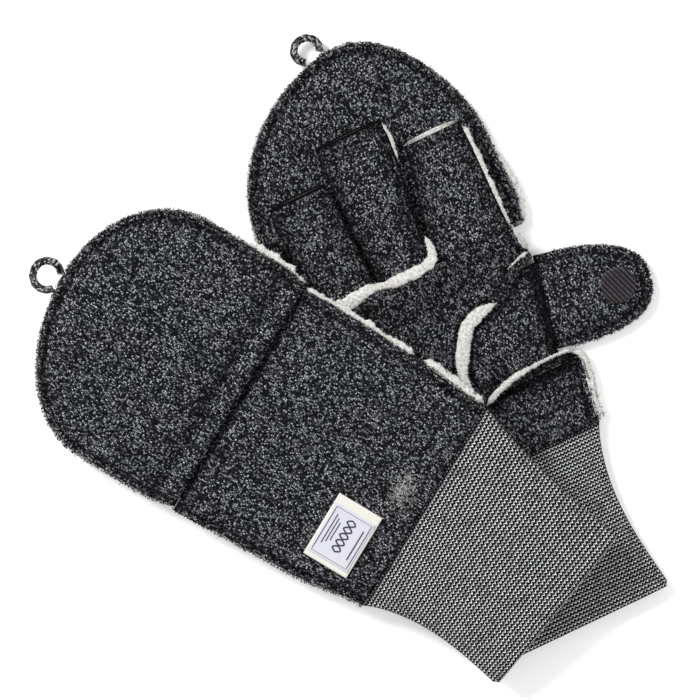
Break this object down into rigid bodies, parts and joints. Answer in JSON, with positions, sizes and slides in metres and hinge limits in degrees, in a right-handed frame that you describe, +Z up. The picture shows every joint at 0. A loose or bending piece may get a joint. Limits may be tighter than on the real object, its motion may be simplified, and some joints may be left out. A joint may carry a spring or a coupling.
{
  "type": "convertible flip-top mittens",
  "caption": "Pair of heather knit mittens with fold-back finger caps and thumb caps over open finger stalls, long knit cuffs and a pull loop at each cap tip",
  "frame": {"origin": "centre of the bounding box on the surface the pair lies on", "axes": "+Z up, away from that surface; +X and +Y in it, with the right mitten's fingertips pointing mostly +Y"},
  "size_m": [0.2944, 0.2998, 0.0394],
  "materials": {
    "heather_knit": "knitted charcoal and navy face with white flecks, fleece back, fuzzy matte",
    "white_fleece": "off-white brushed fleece, raw edge",
    "cuff_knit": "fine black and white zigzag knit, matte",
    "marled_cord": "narrow knitted cord in black, grey and white strands",
    "pad_rubber": "dark purplish black ribbed pad, satin",
    "label_woven": "woven label, off-white edge and pale grey centre"
  },
  "bodies": {
    "right_hand": {"right_back_shell": "heather_knit", "right_palm_shell": "heather_knit", "right_thumb_gusset": "heather_knit", "right_knuckle_panel": "heather_knit", "right_cuff": "cuff_knit", "right_thumb_seam_edge": "white_fleece", "right_finger_seam_edge": "white_fleece", "right_heel_seam_edge": "white_fleece"},
    "right_cap": {"right_cap_back": "heather_knit", "right_cap_front": "heather_knit", "right_cap_loop": "marled_cord"},
    "right_index_finger": {"right_index_stall": "heather_knit"},
    "right_middle_finger": {"right_middle_stall": "heather_knit"},
    "right_ring_finger": {"right_ring_stall": "heather_knit"},
    "right_little_finger": {"right_little_stall": "heather_knit"},
    "right_thumb": {"right_thumb_stall": "heather_knit"},
    "right_thumb_flap": {"right_thumb_cap": "heather_knit", "right_thumb_pad": "pad_rubber"},
    "left_hand": {"left_back_shell": "heather_knit", "left_palm_shell": "heather_knit", "left_thumb_gusset": "heather_knit", "left_knuckle_panel": "heather_knit", "left_cuff": "cuff_knit", "left_thumb_seam_edge": "white_fleece", "left_finger_seam_edge": "white_fleece", "left_heel_seam_edge": "white_fleece", "left_label": "label_woven"},
    "left_cap": {"left_cap_back": "heather_knit", "left_cap_front": "heather_knit", "left_cap_loop": "marled_cord"},
    "left_index_finger": {"left_index_stall": "heather_knit"},
    "left_middle_finger": {"left_middle_stall": "heather_knit"},
    "left_ring_finger": {"left_ring_stall": "heather_knit"},
    "left_little_finger": {"left_little_stall": "heather_knit"},
    "left_thumb": {"left_thumb_stall": "heather_knit"},
    "left_thumb_flap": {"left_thumb_cap": "heather_knit", "left_thumb_pad": "pad_rubber"}
  },
  "joints": [
    {"name": "left_mitten_lift", "type": "slide", "parent": "right_hand", "child": "left_hand", "axis": [0, 0, 1], "range_m": [0, 0.1]},
    {"name": "right_cap_flip", "type": "hinge", "parent": "right_hand", "child": "right_cap", "pos_m": [0.02976, 0.03939, -0.0003], "axis": [-0.9033, -0.4289, 0], "range_deg": [0, 172]},
    {"name": "right_index_curl", "type": "hinge", "parent": "right_hand", "child": "right_index_finger", "pos_m": [0.05618, 0.05194, 0.0197], "axis": [0.9033, 0.4289, 0], "range_deg": [0, 75]},
    {"name": "right_middle_curl", "type": "hinge", "parent": "right_hand", "child": "right_middle_finger", "pos_m": [0.02569, 0.03746, 0.0197], "axis": [0.9033, 0.4289, 0], "range_deg": [0, 75]},
    {"name": "right_ring_curl", "type": "hinge", "parent": "right_hand", "child": "right_ring_finger", "pos_m": [-0.00073, 0.02491, 0.0197], "axis": [0.9033, 0.4289, 0], "range_deg": [0, 20]},
    {"name": "right_little_curl", "type": "hinge", "parent": "right_hand", "child": "right_little_finger", "pos_m": [-0.02218, 0.01473, 0.0197], "axis": [0.9033, 0.4289, 0], "range_deg": [0, 3]},
    {"name": "right_thumb_fold", "type": "hinge", "parent": "right_hand", "child": "right_thumb", "pos_m": [0.08911, 0.02606, 0.01035], "axis": [0.2297, -0.9733, 0], "range_deg": [0, 150]},
    {"name": "right_thumb_cap_flip", "type": "hinge", "parent": "right_thumb", "child": "right_thumb_flap", "pos_m": [0.0969, 0.0279, -0.0001], "axis": [-0.2297, 0.9733, 0], "range_deg": [0, 170]},
    {"name": "left_cap_flip", "type": "hinge", "parent": "left_hand", "child": "left_cap", "pos_m": [-0.05067, -0.01666, 0.02995], "axis": [0.5065, 0.8413, 0.1891], "range_deg": [0, 172]},
    {"name": "left_index_curl", "type": "hinge", "parent": "left_hand", "child": "left_index_finger", "pos_m": [-0.02871, 0.01981, 0.01778], "axis": [-0.5065, -0.8413, -0.1891], "range_deg": [0, 6]},
    {"name": "left_middle_curl", "type": "hinge", "parent": "left_hand", "child": "left_middle_finger", "pos_m": [-0.04441, -0.00627, 0.01192], "axis": [-0.5065, -0.8413, -0.1891], "range_deg": [0, 75]},
    {"name": "left_ring_curl", "type": "hinge", "parent": "left_hand", "child": "left_ring_finger", "pos_m": [-0.05986, -0.03193, 0.00615], "axis": [-0.5065, -0.8413, -0.1891], "range_deg": [0, 75]},
    {"name": "left_little_curl", "type": "hinge", "parent": "left_hand", "child": "left_little_finger", "pos_m": [-0.07303, -0.0538, 0.00124], "axis": [-0.5065, -0.8413, -0.1891], "range_deg": [0, 75]},
    {"name": "left_thumb_fold", "type": "hinge", "parent": "left_hand", "child": "left_thumb", "pos_m": [0.01595, 0.0116, 0.03039], "axis": [0.8567, -0.5158, 0], "range_deg": [0, 3]},
    {"name": "left_thumb_cap_flip", "type": "hinge", "parent": "left_thumb", "child": "left_thumb_flap", "pos_m": [0.01292, 0.00656, 0.01861], "axis": [0.8567, -0.5158, 0], "range_deg": [0, 3]}
  ]
}
